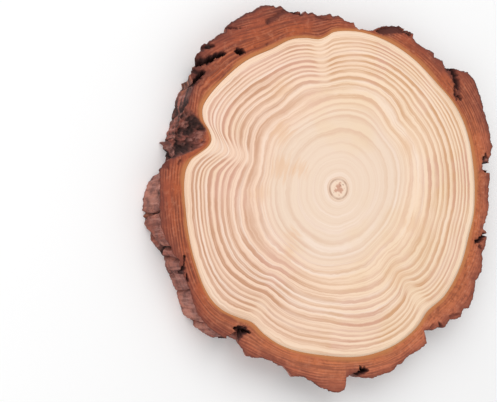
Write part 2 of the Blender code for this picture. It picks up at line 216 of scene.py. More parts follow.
# Crevices in the sawn bark, the shallow ones more stain than cut: (depth, the points along it as angle,
# radius and half width)
CREVICES = [
    # top left and top: two long slits, a hole, and small ones
    (14, [(144.5, 106.5, 2.4), (143, 104.6, 2.3), (141.4, 102.2, 2.1), (139.7, 99.9, 1.7), (137.6, 99.0, 1.2),
          (135.4, 97.1, 1.1), (134.2, 96.0, 0.5)]),
    (9, [(143.6, 98.2, 0.8), (145.2, 98.8, 1.5), (147.4, 99.4, 1.1), (149.6, 99.4, 0.7)]),
    (8, [(131.2, 93.4, 0.8), (130.2, 92.2, 2.0), (129.2, 90.8, 1.5), (128.6, 89.6, 0.5)]),
    (3, [(145.4, 103.4, 1.6), (145.0, 100.8, 1.7), (143.8, 98.6, 0.8)]),
    (1.3, [(141.6, 105.0, 2.6), (144.6, 101.8, 3.8), (147.8, 98.8, 2.6)]),
    (2.5, [(138.8, 107.4, 1.1), (137.1, 104.9, 1.3), (135.4, 102.9, 0.7)]),
    (1.6, [(129.4, 106.2, 0.9), (127.4, 103.6, 0.6), (125.2, 101.2, 0.3)]),
    (1.1, [(115.8, 97.0, 2.0), (113.4, 97.7, 1.9), (110.2, 98.9, 1.3), (106.6, 98.6, 0.9),
           (104.0, 98.0, 0.6)]),
    (1.4, [(109.4, 100.6, 0.7), (106.2, 97.4, 0.8), (103.3, 95.4, 0.6)]),
    (1.8, [(116.0, 96.4, 0.9), (115.0, 97.6, 0.7)]),
    (0.7, [(98.4, 93.4, 0.6), (95.6, 92.0, 0.7), (92.4, 91.6, 0.5)]),
    (0.9, [(119.9, 86.4, 0.7), (119.4, 86.6, 0.7)]),
    (0.9, [(124.4, 88.4, 0.5), (123.6, 88.0, 0.5)]),
    # top right: a dark lump
    (2.0, [(74.4, 91.0, 0.9), (72.1, 92.9, 2.4), (69.7, 95.2, 3.0), (67.3, 97.6, 2.6), (64.6, 98.9, 1.5),
           (61.8, 99.0, 1.3)]),
    # upper right
    (5, [(45.4, 99.6, 1.2), (43.4, 101.4, 1.2), (41.6, 101.2, 1.3), (39.3, 99.4, 1.7), (37.1, 97.8, 0.8)]),
    (4, [(35.0, 95.4, 1.0), (34.0, 95.8, 1.1)]),
    (1.0, [(44.4, 99.4, 2.6), (41.0, 99.8, 3.0), (37.4, 98.0, 2.4), (35.2, 95.4, 2.0)]),
    (4, [(44.6, 102.0, 1.0), (42.8, 104.6, 1.0), (41.8, 106.0, 0.8), (39.8, 109.0, 0.6)]),
    (3, [(38.6, 96.2, 0.9), (36.4, 94.2, 1.0), (34.6, 92.8, 0.6)]),
    # right and lower right
    (9, [(13.0, 98.2, 1.0), (11.6, 97.4, 2.0), (9.8, 97.2, 1.8)]),
    (4, [(7.5, 96.4, 0.6), (7.2, 100.5, 0.6)]),
    (5, [(342.3, 92.6, 1.0), (343.8, 94.8, 1.7), (345.6, 96.8, 1.4), (346.3, 99.2, 1.0)]),
    (1.4, [(341.6, 96.0, 1.0), (341.2, 97.4, 0.6)]),
    (2.2, [(310.9, 97.0, 0.8), (310.7, 98.8, 1.3), (310.0, 99.6, 1.2)]),
    (0.8, [(315.4, 99.6, 1.3), (316.8, 100.8, 1.2), (318.4, 103.2, 0.8)]),
    (0.8, [(308.6, 95.2, 1.1), (307.6, 95.6, 1.2)]),
    # bottom
    (9, [(275.6, 100.8, 0.7), (277.2, 99.8, 1.2), (278.8, 99.2, 1.6), (280.0, 99.8, 0.7)]),
    (4, [(277.9, 98.6, 1.0), (277.5, 96.6, 0.6)]),
    (3, [(260.6, 104.8, 0.5), (263.6, 107.6, 0.6), (267.5, 109.6, 0.5)]),
    # lower left and left
    (9, [(230.4, 96.4, 0.9), (231.8, 95.2, 2.1), (233.6, 94.0, 1.5), (235.4, 93.4, 0.6)]),
    (12, [(230.6, 103.6, 1.4), (231.6, 101, 2.0), (232.8, 97, 2.2), (233.2, 93.6, 1.4)]),
    (6, [(202.6, 97.2, 0.6), (204.2, 98.6, 0.6), (205.8, 100.2, 1.1), (206.6, 101.6, 1.1)]),
    (3, [(207.4, 100.0, 0.5), (209.6, 101.2, 0.5)]),
    # below the bay
    (1.0, [(175.8, 105.0, 2.2), (175.0, 102.2, 2.4), (174.2, 100.2, 1.6), (175.8, 98.4, 0.8)]),
    (2.6, [(172.2, 99.6, 1.4), (172.0, 97.4, 1.3), (171.6, 95.4, 0.8)]),
    (0.9, [(172.6, 92.6, 0.7), (174.0, 93.6, 0.8)]),
]

# How uneven a crevice's sides are: this many millimetres or this share of its half width at most
CREVICE_UNEVEN = 1.2
CREVICE_UNEVEN_MOST = 0.9
CREVICE_NOISE = 0.9
CREVICE_FLOOR = 0.45  # the share of its half width that is as deep as it gets
CREVICE_WIDEST = 2.4  # past this many half widths there is nothing of it left
CREVICE_REACH = 22.0  # and this far from its first point
# Painted shade: in a crevice the painted light goes to nought between these depths
CREVICE_DARK = (1, 4)  # the depths between which the bay's light gives way to it
# The dark margin of a crevice, painted shade with the stain of the shallow ones: its strength, and between
# which shares of the half width it fades out
MARGIN_PER_DEPTH = 0.4
MARGIN_MOST = 0.75
MARGIN_CORE = 0.8
MARGIN_REACH = 1.7
# Where one cuts through the edge, the wall under it has painted shade in patches: how dark at most, on
# average, and the radius and the rate of their noise
CUT_SHADE = 3.0
CUT_SHARE = 0.45
CUT_NOISE = (60, 0.35)

# Painted shade on the wall, by angle: (angle, how much)
WALL_PAINTED_SHADE = [
    (80, 0.15), (135, 0.3), (145, 0.4), (149, 0.29), (160, 0.25), (166, 0.25), (176, 0), (225, 0),
    (240, 0.4), (290, 0.3), (330, 0.1),
]

# The bark's plates: they are long along the trunk, parted by fissures, and flake off in steps
MEAN_RADIUS = 100.0
PLATE_WIDTH = 17.0
PLATE_LENGTH = 64.0
PLATE_STEP = 2.0
WANDER = 2.0
WANDER_LENGTH = 18.0
FISSURE_SHARE = 0.13  # of a plate's width, on each side
FISSURE_VARIES = 0.9
FISSURE_DEPTH = 3.8
FLAKE_WIDTH = 11.0
FLAKE_LENGTH = 10.0
FLAKE_STEPS = 3
FLAKE_STEP = 0.6
FLAKE_RISER = 0.22  # the share of a flake over which it rises from the one below
FLAKE_RISER_SHADE = (0.05, 0.25)  # and the shares between which its shade ends
FLAKE_DETAIL_SCALE = 2.7
FLAKE_DETAIL_SHARE = 0.4
FIBRE_RELIEF = 0.4
GRAIN_RELIEF = 0.15
GRAIN_SIZE = 1.7
# Noise on the wall: the size of its lumps across the trunk and along it
FISSURE_NOISE = (15, 40)
FIBRE_NOISE = (3.2, 26)
THREAD_NOISE = (1.3, 12)
THREAD_SHARE = 0.6
STRAND_NOISE = (1.1, 9)
THIN_BARK_SHARE = 0.35  # of the bark's thickness, the most that the relief takes off or adds
PROUD_SHARE = 0.3  # how much of the relief is left where it would stand out
RELIEF_FADE = 2.0  # how near the sawn faces it fades
FOOT_RELIEF = 0.35  # how much of it is left at the foot
# The grain of the bark's edge: waves of (scale, seed, share)
EDGE_GRAIN = 0.55
EDGE_WAVES = [(0.35, 0, 1.0), (0.9, 9, 0.7), (2.2, 20, 0.5)]
LAYERS_FOLLOW = 0.8  # the share of the bark's thickness by which its layers leave the wood's edge

# How much painted light the wall has, about 0 to 1, low for painted shade and high for a painted highlight,
# and what its plates, flakes, grain and fibres change
WALL_LIGHT = 0.82
PLATE_LIGHT = 0.12
FLAKE_LIGHT = 0.07
FLAKE_SHADE = 0.35
GRAIN_LIGHT = 0.15
FIBRE_LIGHT = 0.3
FISSURE_SHADE = 0.72
STRAND_LIGHT = 0.5  # strands across the fissures
# A fissure's painted shade is full up to the first of these shares of its half width, and gone past the other
DARK_CORE = 0.1
DARK_REACH = 0.85

WIDEST_COLUMN = 0.3
SAWN_ROWS = 27
WALL_ROWS = 28
UNDER_ROWS = 13
SEAM = 0.0001  # between points that are the same

# The photograph's view: its size and the pith's place in it in pixels, and what its perspective says of
# the camera
PHOTO_WIDTH, PHOTO_HEIGHT = 497, 402
PITH_PIXEL = (339.0, 188.5)
FOCAL_PIXELS = 1300.0
MM_PER_PIXEL = 0.54  # at the pith
VIEW_TURN = 29.0  # to the left of the face's normal
VIEW_DROP = 4.0  # and below it
SENSOR = 36.0
AIM_STEPS = 50

# The floor and the lamps, in metres and watts: (name, place, size, watts)
FLOOR_REACH = 4.0
FLOOR_CELLS = 8
LAMPS = [("key", (-0.35, 0.75, 1.0), 1.3, 7.8), ("fill", (-0.9, -0.5, 0.8), 1.2, 2.6)]
STUDIO_LIGHT = 0.67


def between(points, angle):
    """The point before an angle in a closed line, by index, and the share of the way to the next."""
    angle %= 360.0
    for index, (start, _) in enumerate(points):
        end = points[(index + 1) % len(points)][0]
        span = (end - start) % 360.0
        if (angle - start) % 360.0 < span:
            return index, (angle - start) % 360.0 / span
    raise ValueError(angle)


def ragged(points, angle):
    """The value at an angle of a closed line with straight runs from point to point."""
    index, share = between(points, angle)
    return points[index][1] * (1 - share) + points[(index + 1) % len(points)][1] * share


def smooth(points, angle):
    """The value at an angle of a closed line that is rounded through its points."""
    index, share = between(points, angle)
    before, start, end, after = (points[(index + step) % len(points)] for step in (-1, 0, 1, 2))
    span = (end[0] - start[0]) % 360.0
    slope_in = (end[1] - before[1]) / ((end[0] - before[0]) % 360.0) * span
    slope_out = (after[1] - start[1]) / ((after[0] - start[0]) % 360.0) * span
    squared, cubed = share**2, share**3
    return (
        (2 * cubed - 3 * squared + 1) * start[1]
        + (cubed - 2 * squared + share) * slope_in
        + (3 * squared - 2 * cubed) * end[1]
        + (cubed - squared) * slope_out
    )


def step_up(low, high, value):
    """A smooth step from 0 at the low value to 1 at the high one."""
    share = min(1.0, max(0.0, (value - low) / (high - low)))
    return share * share * (3 - 2 * share)


def columns(points, widest):
    """Angles round a closed line: every one of its points, with even steps between."""
    angles = []
    for index, (start, _) in enumerate(points):
        span = (points[(index + 1) % len(points)][0] - start) % 360.0
        steps = math.ceil(span / widest)
        angles += [start + span * step / steps for step in range(steps)]
    return angles


def flat_place(angle, radius):
    turn = math.radians(angle)
    return Vector((radius * math.cos(turn), radius * math.sin(turn)))


def ring_grid(row_count, column_count, closed, held):
    """A grid to bend into a ring: (bmesh, [(vertex, row, column)], {held name: its layer}).
    Its last column repeats the first, and its last row too if the section is closed."""
    made = bmesh.new()
    for name in held:
        made.verts.layers.float.new(name)
    layers = {name: made.verts.layers.float[name] for name in held}
    strips = row_count if closed else row_count - 1
    bmesh.ops.create_grid(made, x_segments=column_count, y_segments=strips, size=1)
    made.verts.ensure_lookup_table()
    places = []
    for index, vertex in enumerate(made.verts):
        row, column = divmod(index, column_count + 1)
        places.append((vertex, row % row_count, column % column_count))
    return made, places, layers


def finish_piece(name, made):
    """Turns a closed bmesh in millimetres into a piece of the slice."""
    bmesh.ops.scale(made, vec=(MM, MM, MM), verts=made.verts)
    bmesh.ops.recalc_face_normals(made, faces=made.faces)
    mesh = bpy.data.meshes.new(name)
    made.to_mesh(mesh)
    made.free()
    mesh.shade_smooth()
    piece = bpy.data.objects.new(name, mesh)
    bpy.context.collection.objects.link(piece)
    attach(piece, "root")
    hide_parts("wood_slice")
    return piece


def ring_strength(angle, number, radius):
    """How strong the ring lines are at a place on the sawn wood."""
    inner = ragged([(side, strength) for side, strength, _ in SIDES], angle)
    outer = ragged([(side, strength) for side, _, strength in SIDES], angle)
    share = step_up(*INNER_TO_OUTER, number)
    strength = inner * (1 - share) + outer * share
    for middle, half, loss, start in VALLEYS:
        across = 1 - step_up(VALLEY_CORE, 1.0, abs(angle - middle) / half)
        strength *= 1 - loss * across * step_up(start - VALLEY_BEFORE, start + VALLEY_PAST, radius)
    return strength


def ring_radii(angle):
    """The radius of every growth ring at an angle, the pith first and the wood's edge last."""
    keys = {ring: smooth(line, angle) for ring, line in KEY_RINGS}
    numbers = [ring for ring, _ in KEY_RINGS]
    radii = [0.0]
    for ring, (share, *_) in enumerate(RINGS, start=1):
        inner = max(number for number in numbers if number <= ring)
        outer = min((number for number in numbers if number > ring), default=inner)
        radii.append(keys[inner] * (1 - share) + keys[outer] * share)
    return radii


def wood():
    """The sawn wood, a disc whose rows of faces follow the growth rings."""
    ring_count = len(RINGS)
    face_rows = ring_count * ROWS_PER_RING
    made, places, layers = ring_grid(
        face_rows * 2, WOOD_COLUMNS, closed=False, held=("growth", "contrast", "onset")
    )
    growth, contrast, onset = layers.values()
    lines = [RINGS[0], *RINGS]
    radii = [ring_radii(360.0 * column / WOOD_COLUMNS) for column in range(WOOD_COLUMNS)]
    for vertex, row, column in places:
        above = row < face_rows
        number = ((row if above else face_rows * 2 - 1 - row) + 1) / ROWS_PER_RING
        ring = min(int(number), ring_count - 1)
        share = number - ring
        radius = radii[column][ring] * (1 - share) + radii[column][ring + 1] * share
        turn = 2 * math.pi * column / WOOD_COLUMNS
        vertex.co = (radius * math.cos(turn), radius * math.sin(turn), THICKNESS if above else 0)
        vertex[growth] = number
        _, strength, vertex[onset] = lines[round(number)]
        vertex[contrast] = strength * ring_strength(360.0 * column / WOOD_COLUMNS, number, radius)
    bmesh.ops.remove_doubles(made, verts=made.verts, dist=SEAM)
    # The rows start a third of a ring out, and a fan closes each face at the pith
    rims = [edge for edge in made.edges if edge.is_boundary]
    for face in bmesh.ops.edgeloop_fill(made, edges=rims)["faces"]:
        middle = bmesh.ops.poke(made, faces=[face])["verts"][0]
        middle.co.x = middle.co.y = 0
        middle[growth] = 0
        _, middle[contrast], middle[onset] = lines[0]
    return finish_piece("sawn_wood", made)


def trunk_noise(outward, rise, size):
    """Noise on the wall, whose lumps have a size across the trunk and one along it."""
    across, along = size
    return noise.noise(outward / across + rise / along)


def plates(angle, height):
    """The wall's relief, its painted light and shade, and its plate's tone: plates parted by fissures, with
    flakes in steps and upright fibres on them, and painted shade in the fissures and under the flakes'
    risers."""
    turn = math.radians(angle)
    outward = Vector((math.cos(turn), math.sin(turn), 0)) * MEAN_RADIUS
    sideways = Vector((-math.sin(turn), math.cos(turn), 0))
    rise = Vector((0, 0, height))
    place = outward / PLATE_WIDTH + rise / PLATE_LENGTH
    place += sideways * WANDER / PLATE_WIDTH * trunk_noise(outward, rise, (PLATE_WIDTH, WANDER_LENGTH))
    distances, middles = noise.voronoi(place)
    plate_step, plate_light, plate_tone = (noise.cell(middles[0] * spread) for spread in (9, 5, 7))

    width = FISSURE_SHARE * (1 + FISSURE_VARIES * trunk_noise(outward, rise, FISSURE_NOISE))
    gap = distances[1] - distances[0]
    fissure = 1 - step_up(0, width, gap)
    dark = 1 - step_up(DARK_CORE * width, DARK_REACH * width, gap)

    # Each plate has flakes of its own
    spot = outward / FLAKE_WIDTH + rise / FLAKE_LENGTH + middles[0] * 5
    steps = (noise.noise(spot) + FLAKE_DETAIL_SHARE * noise.noise(spot * FLAKE_DETAIL_SCALE)) * FLAKE_STEPS
    whole = math.floor(steps)
    part = steps - whole
    flakes = (whole + step_up(0, FLAKE_RISER, part)) * FLAKE_STEP
    relief = PLATE_STEP * (plate_step + 0.3) / 2 + flakes
    relief = relief * (1 - fissure) - FISSURE_DEPTH * fissure

    fine = noise.noise((outward + rise) / GRAIN_SIZE)
    fibre = trunk_noise(outward, rise, FIBRE_NOISE) + THREAD_SHARE * trunk_noise(outward, rise, THREAD_NOISE)
    strand = noise.noise(outward / STRAND_NOISE[0] + rise / STRAND_NOISE[1] + Vector((0, 0, 4)))
    relief = min(relief, PROUD_SHARE * relief) + FIBRE_RELIEF * fibre + GRAIN_RELIEF * fine
    # Painted shade under each flake's riser and in the fissures; higher flakes get more painted light
    under_flake = 1 - step_up(*FLAKE_RISER_SHADE, part)
    light = WALL_LIGHT + PLATE_LIGHT * plate_light + FLAKE_LIGHT * whole - FLAKE_SHADE * under_flake
    light += GRAIN_LIGHT * fine + FIBRE_LIGHT * fibre
    return relief, light * (1 - dark * (FISSURE_SHADE - STRAND_LIGHT * strand)), plate_tone


CREVICE_LINES = [
    (depth, [(flat_place(angle, radius), half) for angle, radius, half in points])
    for depth, points in CREVICES
]


def crevice_at(place):
    """How deep the crevices are at a place on the sawn bark, and how dark their margins of painted shade and
    stain are.
    """
    deepest = margin = 0.0
    for depth, line in CREVICE_LINES:
        if (place - line[0][0]).length > CREVICE_REACH:
            continue
        for (start, half_start), (end, half_end) in zip(line, line[1:]):
            along = end - start
            share = min(1.0, max(0.0, (place - start).dot(along) / along.length_squared))
            away = (place - start - along * share).length
            half = half_start * (1 - share) + half_end * share
            if away > half * CREVICE_WIDEST:
                continue
            uneven = min(CREVICE_UNEVEN_MOST, CREVICE_UNEVEN / half)
            rough = half * (1 + uneven * noise.noise(Vector((*place, depth)) * CREVICE_NOISE))
            deepest = max(deepest, depth * (1 - step_up(rough * CREVICE_FLOOR, rough, away)))
            faint = min(MARGIN_MOST, MARGIN_PER_DEPTH * depth)
            margin = max(margin, faint * (1 - step_up(rough * MARGIN_CORE, rough * MARGIN_REACH, away)))
    return deepest, margin


def round_noise(angle, height, size):
    """Noise that runs round the slice and varies with height."""
    radius, rate = size
    return noise.noise(Vector((*flat_place(angle, radius), height * rate)))


def layered(waves, first, second):
    """Noise of several sizes added up, for waves as BAY_LUMPS has them."""
    return sum(
        strength * noise.noise(Vector((first * fast, second * faster, seed)))
        for fast, faster, seed, strength in waves
    )


def bay(angle, radius, place):
    """How deep the bay of ingrown bark is at a place, and its painted light: strands, lumps and a knob."""
    if not BAY_BRINK[0][0] < angle < BAY_BRINK[-1][0]:
        return 0.0, 1.0
    x, y = place
    past = radius - ragged(BAY_BRINK, angle) + layered(BRINK_WAVES, x, y)
    if past <= 0:
        return 0.0, 1.0
    pocket = step_up(*BAY_POCKET, angle)
    strands = layered(BAY_STRANDS, math.radians(angle) * radius, past)
    lumps = layered(BAY_LUMPS, x, y) * pocket + strands * (1 - pocket)
    depth = ragged(BAY_DEPTHS, angle) * (1 - math.exp(-past / BAY_SLOPE))
    depth -= lumps * LUMP_HEIGHT * step_up(0, LUMP_ONSET, past)
    knob_angle, knob_radius, half, height = KNOB
    knob = (place - flat_place(knob_angle, knob_radius)).length / half
    knob = 1 - step_up(0.1, 1.0, knob + layered(KNOB_WAVES, x, y))
    depth -= height * knob
    # Painted shade deep in the pocket, painted light on the lumps and by the far brink, a painted highlight
    # on the knob
    outer = max(step_up(*POCKET_END, past), 1 - pocket)
    light = POCKET_LIGHT + OUTER_LIGHT * outer + LUMP_LIGHT * lumps * (0.5 + 0.5 * outer) + KNOB_LIGHT * knob
    near_brink = 1 - step_up(0, BRINK_LIGHT_REACH, past)
    light += BRINK_LIGHT * near_brink * step_up(*BRINK_LIGHT_ANGLES, angle)
    return max(BAY_LEAST, depth), min(1.0, max(0.0, light))


class BarkColumn(NamedTuple):
    """What the bark is like at one angle round it."""

    angle: float
    wood_edge: float
    edge: float
    layer_line: float
    undercut: float
    brink: float  # the height at which its wall starts
    cut: float  # how deep a crevice cuts through its edge

    def within(self, relief):
        """Relief that stays within a share of the bark's thickness."""
        most = THIN_BARK_SHARE * (self.edge - self.wood_edge)
        return max(-most, min(most, relief))


def bark_column(angle):
    edge = ragged(BARK_EDGE, angle)
    place = flat_place(angle, edge)
    edge += EDGE_GRAIN * sum(
        share * noise.noise(Vector((*place, seed)) * scale) for scale, seed, share in EDGE_WAVES
    )
    cut, _ = crevice_at(place)
    hollow, _ = bay(angle, edge, place)
    return BarkColumn(
        angle,
        smooth(WOOD_EDGE, angle),
        edge,
        smooth(LAYER_LINE, angle),
        ragged(UNDERCUT, angle),
        THICKNESS - max(hollow, cut),
        cut,
    )


def sawn_point(column, share):
    """The radius and height of a point on the bark's upper face, and what its finish reads there."""
    radius = column.wood_edge + (column.edge - column.wood_edge) * share
    place = flat_place(column.angle, radius)
    hollow, light = bay(column.angle, radius, place)
    crevice, margin = crevice_at(place)
    depth = max(hollow, crevice)
    radius -= column.undercut * step_up(0, UNDERCUT_HEIGHT, depth) * share
    # A deep crevice takes the painted light away: painted shade
    light *= 1 - step_up(*CREVICE_DARK, crevice)
    wall = step_up(*BAY_FINISH, hollow)
    held = {"wall": wall, "light": light, "tone": BAY_TONE, "sunk": max(crevice, margin)}
    return radius, THICKNESS - depth, held


def wall_point(column, up):
    """The same for a point on the wall of plates, a share of the way up it."""
    angle, height = column.angle, column.brink * up
    relief, light, tone = plates(angle, height)
    calm = ragged(CALM, angle)
    fade = step_up(0, RELIEF_FADE, column.brink - height)
    fade *= FOOT_RELIEF + (1 - FOOT_RELIEF) * step_up(0, RELIEF_FADE, height)
    radius = column.edge + column.within(relief * calm) * fade
    radius -= column.undercut * step_up(0, UNDERCUT_HEIGHT, THICKNESS - height)
    # Painted light and shade, calmed in the strip above the bay, with broad patches of it there instead
    light = CALM_LIGHT + (light - CALM_LIGHT) * calm
    light += CALM_PATCHES * (1 - calm) * round_noise(angle, height, CALM_NOISE)
    # Painted shade on the wall by angle
    light -= ragged(WALL_PAINTED_SHADE, angle)
    # Painted shade in patches on the wall under a cut through the edge
    sunk = min(column.cut, CUT_SHADE) * (CUT_SHARE + round_noise(angle, height, CUT_NOISE))
    return radius, height, {"wall": 1.0, "light": light, "tone": tone, "sunk": sunk}


def under_point(column, share):
    """The same for a point on the bark's lower face."""
    relief = column.within(plates(column.angle, 0)[0]) * FOOT_RELIEF
    thick = column.edge - column.wood_edge - column.undercut + relief
    return column.wood_edge + thick * share, 0.0, {"light": 1.0}


def bark():
    """The bark, a closed ring: the sawn face above, the wall of plates, and the sawn face below."""
    lines = [bark_column(angle) for angle in columns(BARK_EDGE, WIDEST_COLUMN)]
    held_names = ("out", "layer", "share", "wall", "sunk", "light", "tone")
    made, places, layers = ring_grid(SAWN_ROWS + WALL_ROWS + UNDER_ROWS, len(lines), True, held_names)
    for vertex, row, number in places:
        column = lines[number]
        if row < SAWN_ROWS:
            share = row / (SAWN_ROWS - 1)
            radius, height, held = sawn_point(column, share)
        elif row < SAWN_ROWS + WALL_ROWS:
            share = 1.0
            radius, height, held = wall_point(column, 1 - (row - SAWN_ROWS + 1) / WALL_ROWS)
        else:
            share = 1 - (row - SAWN_ROWS - WALL_ROWS + 1) / UNDER_ROWS
            radius, height, held = under_point(column, share)
        turn = math.radians(column.angle)
        vertex.co = (radius * math.cos(turn), radius * math.sin(turn), height)
        away = step_up(0.0, LAYERS_FOLLOW, share)
        layer = radius - column.wood_edge * (1 - away) - column.layer_line * away
        held |= {"out": radius - column.wood_edge, "layer": layer, "share": share}
        for name, value in held.items():
            vertex[layers[name]] = value
    bmesh.ops.remove_doubles(made, verts=made.verts, dist=SEAM)
    return finish_piece("bark", made)


class Nodes:
    """One material, built node by node round its Principled shader."""

    def __init__(self, name, roughness):
        self.material = bpy.data.materials.new(name)
        self.material.use_nodes = True
        self.tree = self.material.node_tree
        self.shader = self.tree.nodes["Principled BSDF"]
        self.shader.inputs["Roughness"].default_value = roughness

    def add(self, kind, inputs=None, output=0, **settings):
        node = self.tree.nodes.new(kind)
        for name, value in settings.items():
            setattr(node, name, value)
        for socket, value in (inputs or {}).items():
            self.feed(node.inputs[socket], value)
        return node.outputs[output]

    def feed(self, socket, value):
        if isinstance(value, bpy.types.NodeSocket):
            self.tree.links.new(value, socket)
        else:
            socket.default_value = value

    def held(self, name):
        return self.add("ShaderNodeAttribute", attribute_name=name, output="Fac")

    def place(self):
        return self.add("ShaderNodeTexCoord", output="Object")

    def sides(self, vector):
        return self.add("ShaderNodeSeparateXYZ", {0: vector}).node.outputs

    def stretched(self, values, scales):
        """A vector of three values, each scaled."""
        sides = [self.times(value, scale) for value, scale in zip(values, scales)]
        return self.add("ShaderNodeCombineXYZ", dict(enumerate(sides)))

    def from_point(self, place, x, y):
        """How far a place is from a point on the upper face."""
        inputs = {0: place, 1: (x, y, THICKNESS * MM)}
        return self.add("ShaderNodeVectorMath", inputs, output=1, operation="DISTANCE")

    def math(self, operation, *values):
        return self.add("ShaderNodeMath", dict(enumerate(values)), operation=operation)

    def plus(self, first, second):
        return self.math("ADD", first, second)

    def minus(self, first, second):
        return self.math("SUBTRACT", first, second)

    def times(self, first, second):
        return self.math("MULTIPLY", first, second)

    def larger(self, first, second):
        return self.math("MAXIMUM", first, second)

    def ramp(self, value, low, high, to_low=0.0, to_high=1.0):
        """The value's way from low to high, smoothly, as a number from to_low to to_high."""
        inputs = {"Value": value, "From Min": low, "From Max": high, "To Min": to_low, "To Max": to_high}
        return self.add("ShaderNodeMapRange", inputs, interpolation_type="SMOOTHSTEP")

    def noise(self, vector, scale, detail=2.0, rough=0.5):
        inputs = {"Vector": vector, "Scale": scale, "Detail": detail, "Roughness": rough}
        return self.add("ShaderNodeTexNoise", inputs)

    def swing(self, value, size):
        """A value round a half, made to swing either side of nought."""
        return self.times(self.minus(value, 0.5), size)

    def mix(self, share, first, second):
        inputs = {0: share, 6: first, 7: second}
        return self.add("ShaderNodeMix", inputs, output=2, data_type="RGBA")

    def tint(self, base, tone, value, low, high, most=1.0):
        """The base with a tone laid over it as a value goes from low to high."""
        return self.mix(self.ramp(value, low, high, 0.0, most), base, tone)

    def bump(self, height, distance, strength):
        return self.add("ShaderNodeBump", {"Height": height, "Distance": distance, "Strength": strength})

    def finish(self, shade, normal=None):
        self.feed(self.shader.inputs["Base Color"], shade)
        if normal is not None:
            self.feed(self.shader.inputs["Normal"], normal)
        return self.material


def colour(red, green, blue):
    """A colour as the eye reads it, 0 to 255, as the linear values that a shader takes."""
    channels = (value / 255 for value in (red, green, blue))
    return (*(c / 12.92 if c <= 0.04045 else ((c + 0.055) / 1.055) ** 2.4 for c in channels), 1)


# Earlywood: at the right, at the left, round the pith, in the palest streaks, in patches, by the bark
CREAM = colour(248, 219, 191)
ROSY_CREAM = colour(244, 210, 185)
INNER_CREAM = colour(240, 215, 193)
PALE_CREAM = colour(247, 226, 210)
STRAW = colour(240, 210, 174)
OUTER_CREAM = colour(243, 212, 180)
# Latewood: at the right, at the left, in patches
TAN = colour(212, 162, 120)
ROSY_TAN = colour(201, 150, 118)
PINK_TAN = colour(214, 162, 142)
PITH = colour(243, 216, 192)
PITH_STAR = colour(208, 158, 134)
PITH_SPECK = colour(160, 122, 100)
PITH_SKIN = colour(194, 156, 132)
STAIN = colour(232, 188, 150)

# Sawn bark: next to the wood, then within the bark and towards its edge, with the lower right lighter
GOLDEN_BARK = colour(190, 120, 70)
INNER_BARK = colour(172, 84, 46)
INNER_BARK_LOWER_RIGHT = colour(194, 106, 62)
OUTER_BARK = colour(162, 78, 50)
OUTER_BARK_LOWER_RIGHT = colour(188, 103, 71)
LOWER_BARK = colour(226, 138, 96)
DARK_PATCH = colour(132, 66, 46)
DARK_LAYER = colour(112, 53, 38)
FINE_DARK_LAYER = colour(104, 50, 38)
RIPPLE_DARK = colour(106, 48, 34)
RIPPLE_LIGHT = colour(198, 122, 88)
LIGHT_CRUMB = colour(208, 136, 104)
DARK_CRUMB = colour(98, 46, 34)
BARK_RIM = colour(108, 50, 40)
# The dark outer rim: the bark's own dark crust, with painted shade along the top edge
BARK_CRUST_AND_SHADE = colour(78, 38, 34)
# Painted shade in the crevices and their margins, with the stain of the shallow ones
CREVICE_EDGE_SHADE_AND_STAIN = colour(92, 42, 34)
CREVICE_SHADE_AND_STAIN = colour(68, 33, 28)

# The wall: weathered plates from dark to pale, a red one, grey patches, and the scales on them
OLD_PLATES = [colour(156, 86, 68), colour(167, 97, 81), colour(181, 115, 97)]
OLD_RED_PLATE = colour(160, 96, 72)
GREY_PATCH = colour(118, 98, 84)
OLD_SCALE = colour(100, 62, 56)
# The same where the bark is less weathered
FRESH_PLATES = [colour(146, 80, 66), colour(154, 96, 84)]
FRESH_RED_PLATE = colour(150, 84, 62)
FRESH_SCALE = colour(84, 42, 38)
# Over both
ORANGE_PATCH = colour(180, 98, 58)
LIGHT_FIBRE = colour(188, 134, 122)
DARK_FIBRE = colour(100, 56, 48)
# Painted shade and a painted highlight, laid over both where the painted light runs low or high; the plates'
# own tones and fibres move it too
PAINTED_SHADE = colour(50, 27, 23)
PAINTED_HIGHLIGHT = colour(186, 124, 106)

FLOOR_PALE = colour(250, 250, 250)
FLOOR_CLOUD = colour(247, 247, 247)


def latewood(made, place, growth, leftward, stripes):
    """How dark the wood is with latewood: a line in each ring, and fine lines between."""
    part = made.math("FRACT", made.plus(growth, LATE_CENTRE))
    start = made.held("onset")
    late = made.times(made.ramp(part, start, made.plus(start, LATE_RISE)), made.ramp(part, 1.0, 0.9))
    late = made.times(late, made.held("contrast"))
    # The eleventh ring has a broad line at the left
    broad = made.times(made.ramp(growth, 10.35, 10.95), made.ramp(growth, 11.22, 11.12))
    late = made.larger(late, made.times(made.times(broad, leftward), 0.9))
    late = made.times(late, made.ramp(made.noise(place, 28, 3), 0.3, 0.7, 0.55, 1.1))
    fine = made.times(stripes(6.5, 26, 0.46, 0.64), made.ramp(growth, 6, 13, 0.1, 0.42))
    late = made.plus(late, made.times(fine, made.minus(1.0, late)))
    return made.times(late, made.minus(1.0, made.times(stripes(8.5, 40, 0.5, 0.66), 0.4)))


def earlywood(made, place, growth, leftward, stripes):
    early = made.mix(leftward, CREAM, ROSY_CREAM)
    early = made.mix(made.ramp(growth, 7, 11), INNER_CREAM, early)
    early = made.mix(made.times(stripes(1.1, 9, 0.52, 0.66), 0.6), early, PALE_CREAM)
    early = made.tint(early, STRAW, made.noise(place, 26, 3), 0.5, 0.7, 0.5)
    return made.tint(early, OUTER_CREAM, growth, 20.1, 20.6, 0.4)


